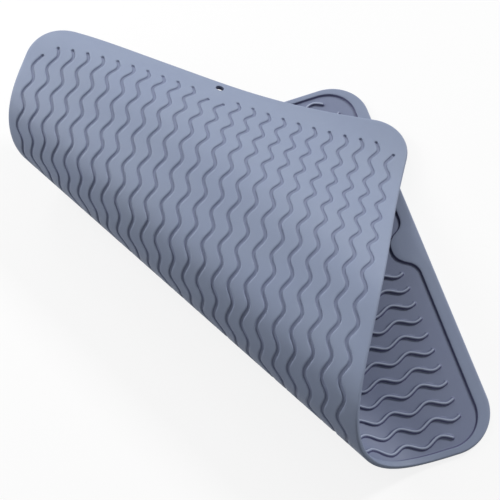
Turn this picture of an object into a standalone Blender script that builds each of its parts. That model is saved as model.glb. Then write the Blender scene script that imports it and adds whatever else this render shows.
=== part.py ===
import math

import bmesh
import bpy
from mathutils import Matrix, Vector

# A moulded silicone heat mat for hot hair tools. It lies on a table and is folded over on
# itself along slanting fold lines, so that its back shows on top. Metres, +Z up.
#
# The mat is modelled flat first: length along X, width along Y, back at z = 0 and the ribbed
# working face up. It is then cut across, along the fold lines, into strips. Each strip is the
# child of the one before it and turns about the fold line between them, which lies in the mat's
# back. The first panel stays flat on the table, and its rest point is the origin.

NAME = "heat_mat"

# The sheet
LENGTH = 0.300
WIDTH = 0.230
CORNER_RADIUS = 0.023
WEB = 0.0014
RAISE = 0.0012
END_RIM = 0.007
SIDE_RIM = 0.0035
RECESS_RADIUS = 0.0175

# The boss in the middle of each end rim, and the hanging hole through one of them
BOSS_DEPTH = 0.0175
BOSS_TIP_WIDTH = 0.013
BOSS_FOOT_WIDTH = 0.026
BOSS_TIP_RADIUS = 0.0095
BOSS_FOOT_RADIUS = 0.009
HOLE_DIAMETER = 0.005
HOLE_INSET = 0.007

# The ribs on the working face
RIB_WIDTH = 0.0022
RIB_PITCH = 0.0092
RIB_SWING = 0.0020
RIB_PERIOD = 0.0186
RIB_SIDE_CLEARANCE = 0.0015
RIB_END_CLEARANCE = 0.0095
RIB_BOSS_CLEARANCE = 0.0058

# The fold. A share of the reach is counted from the mat's middle, square to the fold lines.
FOLD_ANGLE = math.radians(60)
BEND_START_SHARE = -0.283
BEND_LENGTH = 0.100
BEND_TURN = math.radians(180)
BEND_HINGE_COUNT = 7
DROOP_START_SHARE = 0.2935
DROOP_END_SHARE = 0.539
DROOP_HINGE_COUNT = 2
SETTLE_START_SHARE = 0.6405
SETTLE_END_SHARE = 0.971
SETTLE_HINGE_COUNT = 2
END_TILT = math.radians(4)
REST_GAP = 0.0004
STRIP_GAP = 0.0003

# The rest point, in from the middle of the end that stays on the table
REST_INSET = 0.060

# How finely the shape is drawn
ARC_STEP = math.radians(15)
RIB_POINTS_PER_PERIOD = 2
SHORTEST_RIB_RUN_SHARE = 0.25
SINK = 0.0004

THICKNESS = WEB + RAISE
REACH = LENGTH / 2 * math.sin(FOLD_ANGLE) + WIDTH / 2 * math.cos(FOLD_ANGLE)
FOLD_AXIS = Vector((-math.cos(FOLD_ANGLE), math.sin(FOLD_ANGLE), 0))
FOLD_RUN = Vector((0, 0, 1)).cross(FOLD_AXIS)
REST_POINT = Vector((LENGTH / 2 - REST_INSET, 0, 0))

SILICONE = {"color": (0.235, 0.262, 0.370, 1), "roughness": 0.55, "metallic": 0.0}


def clear_scene():
    for thing in list(bpy.data.objects):
        bpy.data.objects.remove(thing, do_unlink=True)


def new_collection(name):
    collection = bpy.data.collections.new(name)
    bpy.context.scene.collection.children.link(collection)
    return collection


def add_object(name, mesh, collection):
    thing = bpy.data.objects.new(name, mesh)
    collection.objects.link(thing)
    return thing


def silicone(name):
    material = bpy.data.materials.new(name)
    material.use_nodes = True
    shader = material.node_tree.nodes["Principled BSDF"]
    shader.inputs["Base Color"].default_value = SILICONE["color"]
    shader.inputs["Roughness"].default_value = SILICONE["roughness"]
    shader.inputs["Metallic"].default_value = SILICONE["metallic"]
    return material


def fillet(before, corner, after, radius):
    """Points of the arc that rounds a corner between its two neighbours."""
    back = (before - corner).normalized()
    ahead = (after - corner).normalized()
    half = back.angle(ahead) / 2
    centre = corner + (back + ahead).normalized() * (radius / math.sin(half))
    start = corner + back * (radius / math.tan(half)) - centre
    turn = math.pi - 2 * half
    if back.cross(ahead) > 0:
        turn = -turn
    steps = max(1, math.ceil(abs(turn) / ARC_STEP))
    return [centre + Matrix.Rotation(turn * i / steps, 2) @ start for i in range(steps + 1)]


def rounded(corners):
    """A closed outline, counter-clockwise, from its corners and their radii."""
    points = [Vector(corner[:2]) for corner in corners]
    outline = []
    for i, corner in enumerate(corners):
        outline += fillet(points[i - 1], points[i], points[(i + 1) % len(points)], corner[2])
    return outline


def mesh_of(curve_object):
    """Turns a curve object into a mesh object with its caps welded on and its place applied."""
    graph = bpy.context.evaluated_depsgraph_get()
    mesh = bpy.data.meshes.new_from_object(curve_object.evaluated_get(graph))
    mesh.transform(curve_object.matrix_world)
    work = bmesh.new()
    work.from_mesh(mesh)
    bmesh.ops.remove_doubles(work, verts=work.verts, dist=1e-7)
    work.to_mesh(mesh)
    work.free()
    name = curve_object.name
    collection = curve_object.users_collection[0]
    bpy.data.objects.remove(curve_object, do_unlink=True)
    return add_object(name, mesh, collection)


def extruded(name, outlines, low, high, collection, closed=True):
    """Extrudes outlines in the XY plane from low to high: solid if closed, else ribbons."""
    curve = bpy.data.curves.new(name, "CURVE")
    curve.dimensions = "2D"
    curve.fill_mode = "BOTH" if closed else "NONE"
    curve.extrude = (high - low) / 2
    for outline in outlines:
        spline = curve.splines.new("POLY")
        spline.points.add(len(outline) - 1)
        for point, (x, y) in zip(spline.points, outline):
            point.co = (x, y, 0, 1)
        spline.use_cyclic_u = closed
    thing = add_object(name, curve, collection)
    thing.location.z = (low + high) / 2
    bpy.context.view_layer.update()
    return mesh_of(thing)


def as_cutter(thing):
    thing.hide_render = True
    thing.display_type = "WIRE"
    return thing


def combine(target, other, operation):
    modifier = target.modifiers.new(other.name, "BOOLEAN")
    modifier.operation = operation
    modifier.solver = "EXACT"
    modifier.object = other


def applied_mesh(thing):
    """The object's mesh with its modifiers applied."""
    bpy.context.view_layer.update()
    graph = bpy.context.evaluated_depsgraph_get()
    return bpy.data.meshes.new_from_object(thing.evaluated_get(graph))


def sheet_outline():
    x, y, radius = LENGTH / 2, WIDTH / 2, CORNER_RADIUS
    return rounded([(x, -y, radius), (x, y, radius), (-x, y, radius), (-x, -y, radius)])


def recess_outline():
    """The recess inside the rims, stepping in round the boss of each end."""
    x, y = LENGTH / 2 - END_RIM, WIDTH / 2 - SIDE_RIM
    tip = LENGTH / 2 - BOSS_DEPTH
    half_end = [
        (x, -y, RECESS_RADIUS),
        (x, -BOSS_FOOT_WIDTH / 2, BOSS_FOOT_RADIUS),
        (tip, -BOSS_TIP_WIDTH / 2, BOSS_TIP_RADIUS),
        (tip, BOSS_TIP_WIDTH / 2, BOSS_TIP_RADIUS),
        (x, BOSS_FOOT_WIDTH / 2, BOSS_FOOT_RADIUS),
        (x, y, RECESS_RADIUS),
    ]
    return rounded(half_end + [(-x_, -y_, radius) for x_, y_, radius in half_end])


def rib_rows():
    """The height of each rib row across the mat, and how far the rib reaches along it."""
    room = WIDTH / 2 - SIDE_RIM - RIB_SIDE_CLEARANCE - RIB_WIDTH / 2 - RIB_SWING
    rows = int(room / RIB_PITCH + 0.5)
    long_reach = LENGTH / 2 - END_RIM - RIB_END_CLEARANCE
    short_reach = LENGTH / 2 - BOSS_DEPTH - RIB_BOSS_CLEARANCE
    for row in range(rows):
        y = (row + 0.5) * RIB_PITCH
        beside_boss = y < BOSS_TIP_WIDTH / 2
        outermost = row == rows - 1
        reach = short_reach if beside_boss or outermost else long_reach
        yield y, reach
        yield -y, reach


def rib_line(y, reach):
    """A wave along X with a trough at the mat's middle, cut off at reach."""
    step = RIB_PERIOD / RIB_POINTS_PER_PERIOD
    count = math.floor(reach / step - SHORTEST_RIB_RUN_SHARE)
    stations = [-reach] + [i * step for i in range(-count, count + 1)] + [reach]
    return [Vector((x, y - RIB_SWING * math.cos(math.tau * x / RIB_PERIOD))) for x in stations]


def make_ribs(cutters):
    lines = [rib_line(y, reach) for y, reach in rib_rows()]
    ribs = extruded("ribs", lines, WEB - SINK, THICKNESS, cutters, closed=False)
    wall = ribs.modifiers.new("width", "SOLIDIFY")
    wall.thickness = RIB_WIDTH
    wall.offset = 0
    wall.use_even_offset = True
    return as_cutter(ribs)


def make_hole(cutters):
    work = bmesh.new()
    bmesh.ops.create_cone(work, cap_ends=True, segments=24, radius1=HOLE_DIAMETER / 2,
                          radius2=HOLE_DIAMETER / 2, depth=3 * THICKNESS)
    mesh = bpy.data.meshes.new("hanging_hole")
    work.to_mesh(mesh)
    work.free()
    hole = add_object("hanging_hole", mesh, cutters)
    hole.location = (HOLE_INSET - LENGTH / 2, 0, THICKNESS / 2)
    return as_cutter(hole)


def make_flat_mat(cutters):
    """The whole mat, flat and in one piece."""
    sheet = as_cutter(extruded("sheet", [sheet_outline()], 0, THICKNESS, cutters))
    recess = extruded("recess", [recess_outline()], WEB, THICKNESS + SINK, cutters)
    combine(sheet, as_cutter(recess), "DIFFERENCE")
    combine(sheet, make_ribs(cutters), "UNION")
    combine(sheet, make_hole(cutters), "DIFFERENCE")
    return as_cutter(add_object("flat_mat", applied_mesh(sheet), cutters))


def smoothstep(t):
    return t * t * (3 - 2 * t)


def spread(name, start, length, turn, count):
    """Hinge lines of one curve: name, place along the run, turn."""
    hinges = []
    for i in range(count):
        share = smoothstep((i + 1) / count) - smoothstep(i / count)
        hinges.append((f"{name}_{i + 1}", start + (i + 0.5) * length / count, turn * share))
    return hinges


def hinge_lines(droop_turn):
    """All hinges: up and over the bend, down onto the table side, then level again."""
    bend_start = BEND_START_SHARE * REACH
    droop_start, droop_end = DROOP_START_SHARE * REACH, DROOP_END_SHARE * REACH
    settle_start, settle_end = SETTLE_START_SHARE * REACH, SETTLE_END_SHARE * REACH
    settle_turn = math.pi + END_TILT - BEND_TURN - droop_turn
    return (spread("bend", bend_start, BEND_LENGTH, BEND_TURN, BEND_HINGE_COUNT)
            + spread("droop", droop_start, droop_end - droop_start, droop_turn,
                     DROOP_HINGE_COUNT)
            + spread("settle", settle_start, settle_end - settle_start, settle_turn,
                     SETTLE_HINGE_COUNT))


def far_reach():
    """How far the rounded corner that is folded over reaches along the run."""
    return REACH - CORNER_RADIUS * (math.sin(FOLD_ANGLE) + math.cos(FOLD_ANGLE) - 1)


def tip_height(droop_turn):
    """Height of the lowest point of the folded-over corner."""
    hinges = hinge_lines(droop_turn)
    ends = [place for _, place, _ in hinges[1:]] + [far_reach()]
    height, angle = 0, 0
    for (_, place, turn), end in zip(hinges, ends):
        angle += turn
        height += (end - place) * math.sin(angle)
    return height + THICKNESS * math.cos(angle)


def resting_droop():
    """The droop that lets the corner down onto the panel under it, with a small gap."""
    target = THICKNESS + REST_GAP
    low, high = 0, math.radians(80)
    for _ in range(50):
        middle = (low + high) / 2
        if tip_height(middle) > target:
            low = middle
        else:
            high = middle
    return low


def strip_cutter(name, start, start_turn, end, end_turn, cutters):
    """A bar along the fold lines. Its sides are mitred where the sheet turns upwards."""
    lean_start = math.tan(max(start_turn, 0) / 2)
    lean_end = math.tan(max(end_turn, 0) / 2)
    work = bmesh.new()
    bmesh.ops.create_cube(work, size=1)
    for vert in work.verts:
        z = 3 * THICKNESS if vert.co.z > 0 else -2 * THICKNESS
        if vert.co.x > 0:
            run = end - STRIP_GAP / 2 - z * lean_end
        else:
            run = start + STRIP_GAP / 2 + z * lean_start
        along = math.copysign(LENGTH + WIDTH, vert.co.y)
        vert.co = FOLD_RUN * run + FOLD_AXIS * along + Vector((0, 0, z))
    bmesh.ops.recalc_face_normals(work, faces=work.faces)
    mesh = bpy.data.meshes.new(name)
    work.to_mesh(mesh)
    work.free()
    return as_cutter(add_object(name, mesh, cutters))


def cut_strip(name, flat_mat, cutter, origin, parts):
    """The piece of the flat mat inside the cutter, with its mesh counted from origin."""
    strip = add_object(name, flat_mat.data.copy(), parts)
    combine(strip, cutter, "INTERSECT")
    mesh = applied_mesh(strip)
    strip.modifiers.clear()
    mesh.transform(Matrix.Translation(-origin))
    mesh.materials.clear()
    mesh.materials.append(silicone(name))
    strip.data = mesh
    return strip


def build():
    clear_scene()
    parts = new_collection(NAME)
    cutters = new_collection("cutters")
    flat_mat = make_flat_mat(cutters)

    hinges = hinge_lines(resting_droop())
    beyond = LENGTH + WIDTH
    starts = [("base_panel", -beyond, 0)] + hinges
    ends = hinges + [("end", beyond, 0)]
    parent, parent_origin = None, None
    for (name, start, turn), (_, end, end_turn) in zip(starts, ends):
        origin = FOLD_RUN * start if parent else REST_POINT
        cutter = strip_cutter(f"{name}_cutter", start, turn, end, end_turn, cutters)
        strip = cut_strip(name, flat_mat, cutter, origin, parts)
        if parent:
            strip.parent = parent
            strip.location = origin - parent_origin
            strip.rotation_mode = "AXIS_ANGLE"
            strip.rotation_axis_angle = (turn, *FOLD_AXIS)
        parent, parent_origin = strip, origin
    bpy.context.view_layer.update()


build()
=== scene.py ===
import math

import bmesh
import bpy
import numpy as np
from mathutils import Euler, Matrix, Vector


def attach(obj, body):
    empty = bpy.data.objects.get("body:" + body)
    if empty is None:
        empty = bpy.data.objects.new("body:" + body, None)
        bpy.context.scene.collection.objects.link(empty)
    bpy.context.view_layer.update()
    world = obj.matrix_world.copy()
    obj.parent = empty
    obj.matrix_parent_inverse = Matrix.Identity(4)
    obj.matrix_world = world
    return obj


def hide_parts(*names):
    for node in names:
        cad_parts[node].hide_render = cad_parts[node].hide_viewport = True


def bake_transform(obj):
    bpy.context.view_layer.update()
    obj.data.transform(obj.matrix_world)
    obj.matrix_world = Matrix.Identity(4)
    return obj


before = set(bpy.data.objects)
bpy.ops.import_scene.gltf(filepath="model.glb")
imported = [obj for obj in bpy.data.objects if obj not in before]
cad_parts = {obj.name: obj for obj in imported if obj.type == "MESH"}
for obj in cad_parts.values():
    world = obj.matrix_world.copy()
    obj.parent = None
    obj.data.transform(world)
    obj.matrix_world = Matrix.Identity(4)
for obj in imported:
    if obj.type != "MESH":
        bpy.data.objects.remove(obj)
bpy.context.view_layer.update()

# A moulded silicone heat mat for hot hair tools, folded over on itself. Metres, +Z up.
# The mat is made flat first, back at height 0 and the ribbed face up, with X along it and Y
# across it from its middle. Then it is bent along slanting fold lines and cut into strips,
# one for each hinge of the frame.

matShape = {
    "halfLength": 0.150,
    "halfWidth": 0.115,
    "corner": 0.023,
    "web": 0.0014,
    "thickness": 0.0026,
    "middle": -0.090,  # along X, from the frame's origin
    "recessHalfLength": 0.143,
    "recessHalfWidth": 0.1115,
    "recessCorner": 0.0175,
    "bossDepth": 0.0175,
    "bossTip": 0.0065,
    "bossFoot": 0.013,
    "bossTipRound": 0.0095,
    "bossFootRound": 0.009,
    "bossSpan": 0.0145,
    "holeRadius": 0.0025,
    "holeInset": 0.007,
    "holeLip": 0.0003,
}

# the edge, from the back round the side, over the rim and down into the recess:
# how far in from the outer edge, height
outerEdge = [
    (0.00110, 0.0),
    (0.00072, 0.00007),
    (0.00039, 0.00026),
    (0.00015, 0.00055),
    (0.00002, 0.00091),
    (0.0, 0.00195),
    (0.00009, 0.00228),
    (0.00030, 0.00251),
    (0.00065, 0.00260),
]
# the same from the recess wall: how far in from it (less is on the rim), height
innerEdge = [
    (-0.00060, 0.00260),
    (-0.00024, 0.00252),
    (0.00002, 0.00228),
    (0.00020, 0.00193),
    (0.00038, 0.00164),
    (0.00062, 0.00147),
    (0.00095, 0.00140),
]

waves = {
    "rows": 12,  # on each side of the middle
    "pitch": 0.0092,
    "swing": 0.0018,
    "period": 0.0186,
    "backTurn": -0.65,  # how far the grooves are ahead of the ribs, in radians
    "straightness": 0.5,  # 0 is a sine, 1 a zigzag
    "longReach": 0.1335,
    "shortReach": 0.1267,
    "ribHeight": 0.0013,
    "ribFoot": 0.00108,
    "ribLines": [0, 0.0003, 0.0006, 0.0008, 0.0010, 0.0012, 0.00145],
    "grooveDepth": 0.00080,
    "grooveFloor": 0.00062,
    "grooveEdge": 0.00118,
    "grooveLines": [0, 0.0004, 0.00062, 0.00080, 0.00099, 0.00118, 0.00152],
    "dotDepth": 0.00018,
    "dotRadius": 0.00115,
    "dotFlat": 0.4,  # share of the dot's radius with a flat floor
    # where the waves run out towards the rims, along the mat and across it
    "fadeEnd": 0.1350,
    "fadeEndSpan": 0.006,
    "fadeSide": 0.1076,
    "fadeSideSpan": 0.0034,
    # lines of the grid along the mat, each run's end and its steps: finest round the rib ends
    "alongRuns": [(0.1254, 135), (0.1281, 9), (0.1322, 5), (0.1352, 10)],
    "lastRunSteps": 14,
    "middleLine": 0.0022,
    "gapLines": [0.0024, 0.0046, 0.0068],
    "borderSteps": 5,
}


def smooth(t):
    t = np.clip(t, 0, 1)
    return t * t * (3 - 2 * t)


def waveAt(x, ahead):
    k = waves["straightness"]
    turn = math.tau * x / waves["period"] + ahead
    return -waves["swing"] * np.arcsin(k * np.cos(turn)) / math.asin(k)


def slopeAt(x, ahead):
    return (waveAt(x + 1e-5, ahead) - waveAt(x - 1e-5, ahead)) / 2e-5


def bothWays(stations):
    # mirrors stations that start at 0
    return np.concatenate([-np.array(stations[:0:-1]), np.array(stations)])


def ranges(*runs):
    # each run is (end, steps), and the first starts at 0
    stations, start = [0.0], 0.0
    for end, steps in runs:
        stations += list(np.linspace(start, end, steps + 1)[1:])
        start = end
    return stations


def stationsAlong(end):
    return bothWays(ranges(*waves["alongRuns"], (end, waves["lastRunSteps"])))


def stationsAcross(end, rowLines):
    # close lines over each rib or groove, and three in each gap
    rowLines = bothWays(rowLines)
    stations = [0.0]
    for row in range(waves["rows"]):
        y = (row + 0.5) * waves["pitch"]
        if row == 0:
            stations.append(waves["middleLine"])
        stations += [y + line for line in rowLines]
        if row < waves["rows"] - 1:
            stations += [y + line for line in waves["gapLines"]]
    last = stations[-1]
    stations += list(np.linspace(last, end, waves["borderSteps"] + 1)[1:])
    return bothWays(stations)


def roundedCorner(x, y, halfLength, halfWidth, corner):
    # turns the square corner of a rectangle into a round one, with no fold in the grid
    p = np.clip((np.abs(x) - (halfLength - corner)) / corner, 0, 1)
    q = np.clip((np.abs(y) - (halfWidth - corner)) / corner, 0, 1)
    newX = np.where(p > 0, halfLength - corner + corner * p * np.sqrt(1 - q * q / 2), np.abs(x))
    newY = np.where(q > 0, halfWidth - corner + corner * q * np.sqrt(1 - p * p / 2), np.abs(y))
    return np.copysign(newX, x), np.copysign(newY, y)


def bossEdge(inset):
    # the recess end's place along X for each place across it, round the boss
    s, farAcross, arcSteps = matShape, 0.06, 24
    foot = Vector((s["recessHalfLength"], s["bossFoot"]))
    tip = Vector((s["halfLength"] - s["bossDepth"], s["bossTip"]))
    points = []
    for before, at, after, radius in (
        (Vector((tip.x, 0)), tip, foot, s["bossTipRound"] + inset),
        (tip, foot, Vector((foot.x, farAcross)), s["bossFootRound"] - inset),
    ):
        back, ahead = (before - at).normalized(), (after - at).normalized()
        half = back.angle(ahead) / 2
        centre = at + (back + ahead).normalized() * (radius / math.sin(half))
        start = at + back * (radius / math.tan(half)) - centre
        turn = math.copysign(math.pi - 2 * half, -back.cross(ahead))
        points += [centre + Matrix.Rotation(turn * i / arcSteps, 2) @ start for i in range(arcSteps + 1)]
    y = [0.0] + [p.y for p in points] + [farAcross]
    x = [tip.x] + [p.x for p in points] + [foot.x]
    return np.array(y), np.array(x) - inset


def backPlace(x, y):
    edge = outerEdge[0][0]
    return roundedCorner(x, y, matShape["halfLength"] - edge, matShape["halfWidth"] - edge,
                         matShape["corner"] - edge)


def frontPlace(x, y):
    s, inset = matShape, innerEdge[-1][0]
    end, side = s["recessHalfLength"] - inset, s["recessHalfWidth"] - inset
    x, y = roundedCorner(x, y, end, side, s["recessCorner"] - inset)
    bossY, bossX = bossEdge(inset)
    limit = np.interp(np.abs(y), bossY, bossX)
    start = end - s["bossSpan"]
    beyond = np.abs(x) - start
    squeezed = start + beyond * (limit - start) / (end - start)
    return np.where(beyond > 0, np.copysign(squeezed, x), x), y


def ribDistance(x, across, ahead):
    # distance to the nearest wave's middle line, and to its end; across is counted square to the rows,
    # with the wave itself left out
    row = np.clip(np.floor(np.abs(across) / waves["pitch"]), 0, waves["rows"] - 1)
    offset = np.abs(across) - (row + 0.5) * waves["pitch"]
    offset = np.copysign(offset, across * offset)
    short = (row == 0) | (row == waves["rows"] - 1)
    reach = np.where(short, waves["shortReach"], waves["longReach"])
    past = np.abs(x) - reach
    rise = offset + waveAt(x, ahead) - waveAt(np.copysign(reach, x), ahead)
    toEnd = np.hypot(past, rise)
    along = np.abs(offset) * np.cos(np.arctan(slopeAt(x, ahead)))
    return np.where(past > 0, toEnd, along), toEnd


def fade(x, y):
    # 1 over the waves, down to 0 before the rims
    w = waves
    towardsEnd = smooth((np.abs(x) - w["fadeEnd"]) / w["fadeEndSpan"])
    towardsSide = smooth((np.abs(y) - w["fadeSide"]) / w["fadeSideSpan"])
    return (1 - towardsEnd) * (1 - towardsSide)


def nextTo(loop):
    # inward unit normals of a closed loop of points that runs counter-clockwise
    run = np.roll(loop, -1, axis=0) - np.roll(loop, 1, axis=0)
    run /= np.linalg.norm(run, axis=1)[:, None]
    return np.stack([-run[:, 1], run[:, 0]], axis=1)


def boundaryIndex(i, j, lastI, lastJ):
    # place of a border vertex on the loop that runs counter-clockwise from the corner (0, 0)
    return np.where(j == 0, i,
                    np.where(i == lastI, lastI + j,
                             np.where(j == lastJ, lastI + lastJ + (lastI - i),
                                      2 * lastI + lastJ + (lastJ - j))))


def makeFlatMat():
    edge, foot = outerEdge[0][0], innerEdge[-1][0]
    backX = stationsAlong(matShape["halfLength"] - edge)
    backY = stationsAcross(matShape["halfWidth"] - edge, waves["grooveLines"])
    frontX = stationsAlong(matShape["recessHalfLength"] - foot)
    frontY = stationsAcross(matShape["recessHalfWidth"] - foot, waves["ribLines"])
    lastI, lastJ = len(backX) - 1, len(backY) - 1
    rimSteps = 4
    levels = len(outerEdge) + len(innerEdge) + rimSteps - 2

    # a plain slab with the right grid, which the next lines shape
    flat = bmesh.new()
    bmesh.ops.create_grid(flat, x_segments=lastI, y_segments=lastJ, size=1)
    grown = bmesh.ops.extrude_face_region(flat, geom=flat.faces[:], use_keep_orig=True)
    top = [v for v in grown["geom"] if isinstance(v, bmesh.types.BMVert)]
    bmesh.ops.translate(flat, verts=top, vec=(0, 0, levels))
    posts = [e for e in flat.edges if abs(e.verts[0].co.z - e.verts[1].co.z) > 0.5]
    bmesh.ops.subdivide_edges(flat, edges=posts, cuts=levels - 1)
    bmesh.ops.recalc_face_normals(flat, faces=flat.faces[:])
    mesh = bpy.data.meshes.new("flatMat")
    flat.to_mesh(mesh)
    flat.free()

    place = np.empty(len(mesh.vertices) * 3)
    mesh.vertices.foreach_get("co", place)
    place = place.reshape(-1, 3)
    i = np.rint((place[:, 0] + 1) / 2 * lastI).astype(int)
    j = np.rint((place[:, 1] + 1) / 2 * lastJ).astype(int)
    level = np.rint(place[:, 2]).astype(int)

    # the back, with its grooves
    w = waves
    rowX, rowY = backX[i], backY[j]
    warped = rowY + waveAt(rowX, w["backTurn"]) * fade(rowX, rowY)
    x, y = backPlace(rowX, warped)
    distance, toEnd = ribDistance(rowX, rowY, w["backTurn"])
    groove = 1 - smooth((distance - w["grooveFloor"]) / (w["grooveEdge"] - w["grooveFloor"]))
    dot = 1 - smooth((toEnd - w["dotFlat"] * w["dotRadius"]) / ((1 - w["dotFlat"]) * w["dotRadius"]))
    back = np.stack([x, y, w["grooveDepth"] * groove + w["dotDepth"] * dot], axis=1)

    # the face, with its ribs
    rowX, rowY = frontX[i], frontY[j]
    warped = rowY + waveAt(rowX, 0) * fade(rowX, rowY)
    x, y = frontPlace(rowX, warped)
    distance, toEnd = ribDistance(rowX, rowY, 0)
    rib = w["ribHeight"] * np.sqrt(np.clip(1 - (distance / w["ribFoot"]) ** 2, 0, 1))
    front = np.stack([x, y, matShape["web"] + rib], axis=1)

    place = np.where((level == 0)[:, None], back, front)

    # the edge and the rim, between the two
    order = boundaryIndex(i, j, lastI, lastJ)
    border = (i == 0) | (i == lastI) | (j == 0) | (j == lastJ)
    count = 2 * (lastI + lastJ)
    outer, inner = np.zeros((count, 2)), np.zeros((count, 2))
    onBack, onFront = border & (level == 0), border & (level == levels)
    outer[order[onBack]] = back[onBack][:, :2]
    inner[order[onFront]] = front[onFront][:, :2]
    outerIn, innerIn = nextTo(outer), nextTo(inner)
    rims = []
    for inset, height in outerEdge:
        rims.append((outer + outerIn * (inset - edge), height))
    rimStart = rims[-1][0]
    rimEnd = inner + innerIn * (innerEdge[0][0] - foot)
    for step in range(1, rimSteps):
        rims.append((rimStart + (rimEnd - rimStart) * step / rimSteps, matShape["thickness"]))
    for inset, height in innerEdge:
        rims.append((inner + innerIn * (inset - foot), height))
    for at in range(1, levels):
        here = border & (level == at)
        loop, height = rims[at]
        place[here, :2] = loop[order[here]]
        place[here, 2] = height
    mesh.vertices.foreach_set("co", place.ravel())
    mesh.update()
    # the outer side keeps the back's colour, with none of the painted shade by height
    side = border & (level > 0) & (level < len(outerEdge) - 1)
    mesh.attributes.new("outerSide", "FLOAT", "POINT").data.foreach_set("value", side.astype(np.float32))
    print("flat mat:", len(mesh.vertices), "points, levels", levels, len(rims))
    return mesh


def punchHole(mesh):
    # cuts a round hole through the boss, with softened lips
    radius, lip = matShape["holeRadius"], matShape["holeLip"]
    reach, sides = 0.0045, 40
    within = 0.97  # takes the faces inside the cuts and none outside
    lipRound = 0.29  # about 1 - cos 45, the place half way round the lip
    middle = Vector((matShape["holeInset"] - matShape["halfLength"], 0, 0))
    work = bmesh.new()
    work.from_mesh(mesh)
    near = [f for f in work.faces if (f.calc_center_median() - middle).xy.length < reach]
    geom = list({g for f in near for g in (f, *f.edges, *f.verts)})
    for side in range(sides):
        turn = math.tau * side / sides
        out = Vector((math.cos(turn), math.sin(turn), 0))
        cut = bmesh.ops.bisect_plane(work, geom=geom, plane_co=middle + out * (radius + lip), plane_no=out)
        geom = cut["geom"]
    inside = [f for f in geom if isinstance(f, bmesh.types.BMFace)
              and (f.calc_center_median() - middle).xy.length < radius + lip * within]
    bmesh.ops.delete(work, geom=inside, context="FACES")
    rims = [e for e in work.edges if e.is_boundary]
    ends = []
    for face, sign in ((0, 1), (matShape["thickness"], -1)):
        loop = [e for e in rims if abs(e.verts[0].co.z - face) < matShape["thickness"] / 2]
        for out, depth in ((lip * lipRound, lip * lipRound), (0, lip)):
            grown = bmesh.ops.extrude_edge_only(work, edges=loop)["geom"]
            loop = [g for g in grown if isinstance(g, bmesh.types.BMEdge)]
            for v in {v for e in loop for v in e.verts}:
                flat = (v.co - middle).xy.normalized() * (radius + out)
                v.co = middle + Vector((*flat, face + sign * depth))
        ends += loop
    bmesh.ops.bridge_loops(work, edges=ends)
    bmesh.ops.recalc_face_normals(work, faces=work.faces[:])
    work.to_mesh(mesh)
    work.free()
    print("hole:", len(inside), "faces out")


# the fold, counted from the mat's middle square to the fold lines: start, length, turn in degrees
folding = {
    "angle": 60,
    "curves": [(-0.05304, 0.1, 180), (0.0550, 0.04601, 33.643), (0.12003, 0.06194, -29.643)],
    "hinges": [-0.04589, -0.03161, -0.01732, -0.00304, 0.01125, 0.02554, 0.03982, 0.0665, 0.08951,
               0.13552, 0.16648],
    "firstSeam": -0.0560,
    "tip": 0.1800,
    "stillShare": 0.1,  # of each strip next to a seam; where it ends is worked out below but not used
    "profileEnd": 0.2,
    "profileSteps": 8000,
}
foldAxis = np.array([-math.cos(math.radians(folding["angle"])), math.sin(math.radians(folding["angle"]))])
foldRun = np.array([-foldAxis[1], foldAxis[0]])


def foldAngle(v):
    return sum(math.radians(turn) * smooth((v - start) / length) for start, length, turn in folding["curves"])


# the bent back's place for each place across the fold, added up in small steps
profileV = np.linspace(-folding["profileEnd"], folding["profileEnd"], folding["profileSteps"] + 1)
profileTurn = foldAngle(profileV)
profileStep = profileV[1] - profileV[0]
middleTurn = profileTurn[1:] / 2 + profileTurn[:-1] / 2
profileRun = profileV[0] + np.concatenate([[0], np.cumsum(np.cos(middleTurn))]) * profileStep
profileRise = np.concatenate([[0], np.cumsum(np.sin(middleTurn))]) * profileStep


def bent(flat):
    # places on the flat mat to places on the folded one
    u, v, h = flat[:, :2] @ foldAxis, flat[:, :2] @ foldRun, flat[:, 2]
    turn = np.interp(v, profileV, profileTurn)
    run = np.interp(v, profileV, profileRun) - h * np.sin(turn)
    rise = np.interp(v, profileV, profileRise) + h * np.cos(turn)
    place = u[:, None] * foldAxis + run[:, None] * foldRun
    return np.column_stack([place[:, 0] + matShape["middle"], place[:, 1], rise])


def bentNormals(normals, flat):
    turn = np.interp(flat[:, :2] @ foldRun, profileV, profileTurn)
    along, ahead, up = normals[:, :2] @ foldAxis, normals[:, :2] @ foldRun, normals[:, 2]
    run = ahead * np.cos(turn) - up * np.sin(turn)
    rise = ahead * np.sin(turn) + up * np.cos(turn)
    level = along[:, None] * foldAxis + run[:, None] * foldRun
    return np.column_stack([level, rise])


def vectorsOf(mesh, name):
    values = np.empty(len(mesh.vertices) * 3)
    mesh.attributes[name].data.foreach_get("vector", values)
    return values.reshape(-1, 3)


def keepVectors(mesh, name, values):
    mesh.attributes.new(name, "FLOAT_VECTOR", "POINT").data.foreach_set("vector", values.ravel())


def seamPlaces():
    hinges = folding["hinges"]
    return [folding["firstSeam"]] + [(a + b) / 2 for a, b in zip(hinges, hinges[1:])]


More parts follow.
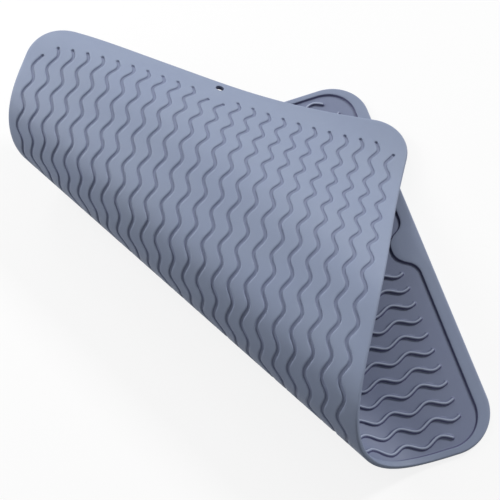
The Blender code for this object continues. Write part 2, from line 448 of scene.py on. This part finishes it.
def cutSeams(mesh):
    # new edges across the flat mat wherever one strip ends and the next begins
    run = Vector((*foldRun, 0))
    reach = 0.004  # further than any face is long
    work = bmesh.new()
    work.from_mesh(mesh)
    for seam in seamPlaces():
        near = []
        for f in work.faces:
            away = f.verts[0].co.dot(run) - seam
            if abs(away) < reach:
                near.append(f)
        geom = list({g for f in near for g in (f, *f.edges, *f.verts)})
        bmesh.ops.bisect_plane(work, geom=geom, plane_co=run * seam, plane_no=run)
    work.to_mesh(mesh)
    work.free()
    flat = np.empty(len(mesh.vertices) * 3)
    mesh.vertices.foreach_get("co", flat)
    normals = np.empty(len(mesh.vertices) * 3)
    mesh.vertex_normals.foreach_get("vector", normals)
    keepVectors(mesh, "flatPlace", flat.reshape(-1, 3))
    keepVectors(mesh, "flatNormal", normals.reshape(-1, 3))
    print("seams cut:", len(mesh.polygons), "faces")


def makeStrip(name, mesh, low, high, material):
    # the part of the mat between two seams, closed at both and bent into place
    run = Vector((*foldRun, 0))
    work = bmesh.new()
    work.from_mesh(mesh)
    others = [f for f in work.faces if not low < f.calc_center_median().dot(run) < high]
    bmesh.ops.delete(work, geom=others, context="FACES")
    for f in work.faces:
        f.smooth = True
    caps = bmesh.ops.edgeloop_fill(work, edges=[e for e in work.edges if e.is_boundary])["faces"]
    for f in caps:
        f.smooth = False
    bmesh.ops.recalc_face_normals(work, faces=work.faces[:])
    piece = bpy.data.meshes.new(name)
    work.to_mesh(piece)
    work.free()

    flat = vectorsOf(piece, "flatPlace")
    normals = bentNormals(vectorsOf(piece, "flatNormal"), flat)
    piece.attributes.remove(piece.attributes["flatNormal"])
    piece.vertices.foreach_set("co", bent(flat).ravel())
    piece.update()
    corner = np.empty(len(piece.loops), dtype=int)
    piece.loops.foreach_get("vertex_index", corner)
    normals = normals[corner]
    for cap in piece.polygons:
        if not cap.use_smooth:
            normals[cap.loop_start:cap.loop_start + cap.loop_total] = cap.normal
    piece.normals_split_custom_set(normals.tolist())
    piece.materials.append(material)
    thing = bpy.data.objects.new(name, piece)
    bpy.context.scene.collection.objects.link(thing)
    return thing


class Wire:
    # one socket of a node tree, so that shader maths reads as plain sums
    def __init__(self, tree, socket):
        self.tree, self.socket = tree, socket

    def maths(self, operation, first, second):
        return self.tree.add("Math", {"operation": operation}, {0: first, 1: second})

    def __add__(self, other):
        return self.maths("ADD", self, other)

    def __radd__(self, other):
        return self.maths("ADD", other, self)

    def __sub__(self, other):
        return self.maths("SUBTRACT", self, other)

    def __rsub__(self, other):
        return self.maths("SUBTRACT", other, self)

    def __mul__(self, other):
        return self.maths("MULTIPLY", self, other)

    def __rmul__(self, other):
        return self.maths("MULTIPLY", other, self)


class Finish:
    # the nodes of a material or of the world, and the one way to add to them
    def __init__(self, owner):
        owner.use_nodes = True
        self.owner = owner
        self.nodes, self.links = owner.node_tree.nodes, owner.node_tree.links
        self.nodes.clear()

    def add(self, kind, settings=None, sockets=None, output=0):
        node = self.nodes.new("ShaderNode" + kind)
        for name, value in (settings or {}).items():
            setattr(node, name, value)
        for name, value in (sockets or {}).items():
            if isinstance(value, Wire):
                self.links.new(value.socket, node.inputs[name])
            else:
                node.inputs[name].default_value = value
        return Wire(self, node.outputs[output]) if len(node.outputs) else None


silicone = {
    "colour": (0.246, 0.294, 0.419, 1),
    "deepColour": (0.217, 0.256, 0.374, 1),
    "greyColour": (0.264, 0.311, 0.415, 1),
    # painted shade: the dark colour that is mixed in by height, below
    "paintedShadeColour": (0.03, 0.016, 0.10, 1),
    "faceShade": 0.06,  # painted shade: how much of it the ribbed face takes
    "recessShade": 0.27,  # the same for the floor of its recess
    "sideShade": 0.68,  # for the sides of the ribs and the recess
    "grooveShade": 0.48,  # and for the walls of the grooves
    "grooveFloorShade": 0.20,
    # painted highlight on the rib crests
    "crestHighlightColour": (0.42, 0.47, 0.60, 1),
    "crestHighlightShare": 0.9,
    # heights over the back between which the next painted shade or highlight comes in
    "grooveWall": (0.00034, 0.00054),
    "grooveFloor": (0.00060, 0.00078),
    "face": (0.00112, 0.0013),
    "side": (0.00141, 0.0015),
    "rim": (0.0023, 0.00255),
    "crest": (0.00261, 0.00269),
    "cloudScale": 22,
    "patchScale": 90,
    "grainScale": 1500,
    "roughness": 0.58,
    "roughnessSpread": 0.16,
    "bump": 0.25,
    "bumpDepth": 0.0001,
    "refraction": 1.41,
}


def siliconeFinish():
    # satin silicone: clouds and patches of slightly different tint, a fine moulded grain, and painted shade
    # and highlight by height
    s = silicone
    finish = Finish(bpy.data.materials.new("matteSilicone"))
    flatPlace = finish.add("Attribute", {"attribute_name": "flatPlace"}, output=1)
    height = finish.add("SeparateXYZ", {}, {"Vector": flatPlace}, output=2)
    onOuterSide = finish.add("Attribute", {"attribute_name": "outerSide"}, output=2)

    def noise(scale, detail, roughness):
        return finish.add("TexNoise", {}, {
            "Vector": flatPlace, "Scale": scale, "Detail": detail, "Roughness": roughness})

    def mixed(share, first, second):
        return finish.add("Mix", {"data_type": "RGBA"}, {0: share, 6: first, 7: second}, output=2)

    def above(tint):
        low, high = s[tint]
        return finish.add("MapRange", {"interpolation_type": "SMOOTHSTEP"},
                          {"Value": height, "From Min": low, "From Max": high})

    clouds = noise(s["cloudScale"], 4, 0.55)
    patches = noise(s["patchScale"], 3, 0.6)
    grain = noise(s["grainScale"], 2, 0.6)
    cloudy = mixed(patches * 0.5, mixed(clouds * 1.6 - 0.3, s["colour"], s["greyColour"]), s["deepColour"])
    wall, floor, face = above("grooveWall"), above("grooveFloor"), above("face")
    side, rim, crest = above("side"), above("rim"), above("crest")
    # painted shade: by height, the groove walls and floors, the recess floor, the rib and recess sides and
    # all at rim height are darkened
    shade = wall * (1 - floor) * s["grooveShade"] + floor * (1 - face) * s["grooveFloorShade"]
    shade = shade + face * (1 - side) * s["recessShade"]
    shade = shade + side * (1 - rim) * s["sideShade"] + rim * s["faceShade"]
    shaded = mixed(shade * (1 - onOuterSide), cloudy, s["paintedShadeColour"])
    # painted highlight: the rib crests are lightened toward a paler colour
    colour = mixed(crest * s["crestHighlightShare"], shaded, s["crestHighlightColour"])
    unevenness = patches - 0.5 + (clouds - 0.5)
    roughness = s["roughness"] + unevenness * s["roughnessSpread"]
    bump = finish.add("Bump", {}, {
        "Strength": s["bump"], "Distance": s["bumpDepth"], "Height": grain * 0.6 + patches * 0.4})
    surface = finish.add("BsdfPrincipled", {}, {
        "Base Color": colour, "Roughness": roughness, "Normal": bump, "IOR": s["refraction"]})
    finish.add("OutputMaterial", {}, {"Surface": surface})
    return finish.owner


studio = {
    "lens": 68.72,
    "cameraPlace": (-0.03156, -0.21623, 0.47593),
    "cameraTurn": (26.0687, 7.8700, -15.7780),
    # strength, size, degrees round from +X, degrees up, distance
    "lamps": {
        "keyLight": (2.05, 0.4, 26, 32, 2.5),
        "northLight": (0.65, 0.8, 92, 29, 2.5),
        "leftLight": (1.65, 0.35, 132, 27, 0.8),
        "foldLight": (0.12, 1.6, 185, 28, 2.5),
    },
    "lampAim": (-0.03, 0.04, 0.02),
    "roomLight": 0.22,
    "floorHalf": 3,
    "floorGlow": 0.84,  # how much of the seen floor is plain white, the rest shows the shadow
    "paperColour": (0.95, 0.95, 0.95, 1),
    "bouncedColour": (0.3, 0.3, 0.3, 1),
    "white": (1, 1, 1, 1),
}


def rayIsSeen(finish):
    # 1 for rays of the camera, and for those that carry the room's white into shiny and clear things
    camera, glossy, transmission = (finish.add("LightPath", output=output) for output in (0, 3, 6))
    return camera + glossy + transmission


def makeFloor():
    floor = bmesh.new()
    bmesh.ops.create_grid(floor, x_segments=1, y_segments=1, size=studio["floorHalf"])
    mesh = bpy.data.meshes.new("paleFloor")
    floor.to_mesh(mesh)
    floor.free()
    thing = bpy.data.objects.new("paleFloor", mesh)
    bpy.context.scene.collection.objects.link(thing)
    # white where the camera looks, with a light shadow, and a calm grey for the light that bounces
    finish = Finish(bpy.data.materials.new("palePaper"))
    paper = finish.add("BsdfDiffuse", {}, {"Color": studio["paperColour"]})
    glow = finish.add("Emission", {}, {"Color": studio["white"], "Strength": 1})
    seen = finish.add("MixShader", {}, {0: studio["floorGlow"], 1: paper, 2: glow})
    bounced = finish.add("BsdfDiffuse", {}, {"Color": studio["bouncedColour"]})
    surface = finish.add("MixShader", {}, {0: rayIsSeen(finish), 1: bounced, 2: seen})
    finish.add("OutputMaterial", {}, {"Surface": surface})
    mesh.materials.append(finish.owner)


def hangLamps():
    for name, (strength, size, around, up, distance) in studio["lamps"].items():
        lamp = bpy.data.lights.new(name, "AREA")
        lamp.energy, lamp.size = strength * math.pi * distance ** 2, size
        light = bpy.data.objects.new(name, lamp)
        towards = Vector((distance, 0, 0))
        towards.rotate(Euler((0, math.radians(-up), math.radians(around))))
        light.location = Vector(studio["lampAim"]) + towards
        light.rotation_euler = towards.to_track_quat("Z", "Y").to_euler()
        bpy.context.scene.collection.objects.link(light)


def lightRoom():
    room = Finish(bpy.data.worlds.new("paleRoom"))
    bpy.context.scene.world = room.owner
    white = room.add("Background", {}, {"Color": studio["white"], "Strength": 1})
    calm = room.add("Background", {}, {"Color": studio["white"], "Strength": studio["roomLight"]})
    around = room.add("MixShader", {}, {0: rayIsSeen(room), 1: calm, 2: white})
    room.add("OutputWorld", {}, {"Surface": around})


def placeCamera():
    camera = bpy.data.objects.new("camera", bpy.data.cameras.new("camera"))
    camera.data.lens = studio["lens"]
    camera.data.clip_start = 0.01
    camera.location = studio["cameraPlace"]
    camera.rotation_euler = [math.radians(a) for a in studio["cameraTurn"]]
    bpy.context.scene.collection.objects.link(camera)
    bpy.context.scene.camera = camera


material = siliconeFinish()
flatMat = makeFlatMat()
punchHole(flatMat)
cutSeams(flatMat)

bodies = ["base_panel"]
for part, count in (("bend", 7), ("droop", 2), ("settle", 2)):
    bodies += [f"{part}_{number}" for number in range(1, count + 1)]
seams = seamPlaces()
pastMat = 1  # further than the mat reaches to either side
pieces = [makeStrip("matBase", flatMat, -pastMat, seams[0], material)]
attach(pieces[0], "base_panel")
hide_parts("base_panel")
# each further strip is cut and bent into its rest place, and its body's own part is hidden; the places a
# short way in from its seams are worked out but not used
for number in range(1, len(bodies)):
    isLast = number == len(seams)
    low, high = seams[number - 1], folding["tip"] if isLast else seams[number]
    strip = makeStrip(f"matStrip{number}", flatMat, low, pastMat if isLast else high, material)
    margin = folding["stillShare"] * (high - low)
    start, end = bent(np.array([[*(foldRun * v), 0] for v in (low + margin, high - margin)]))
    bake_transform(strip)
    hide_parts(bodies[number])
    pieces.append(strip)
for piece in pieces:
    print(piece.name, len(piece.data.vertices), sum(len(p.vertices) - 2 for p in piece.data.polygons))
makeFloor()
hangLamps()
lightRoom()
placeCamera()
print("floor, lamps, room and camera placed")
bpy.context.scene.view_settings.view_transform = "Standard"
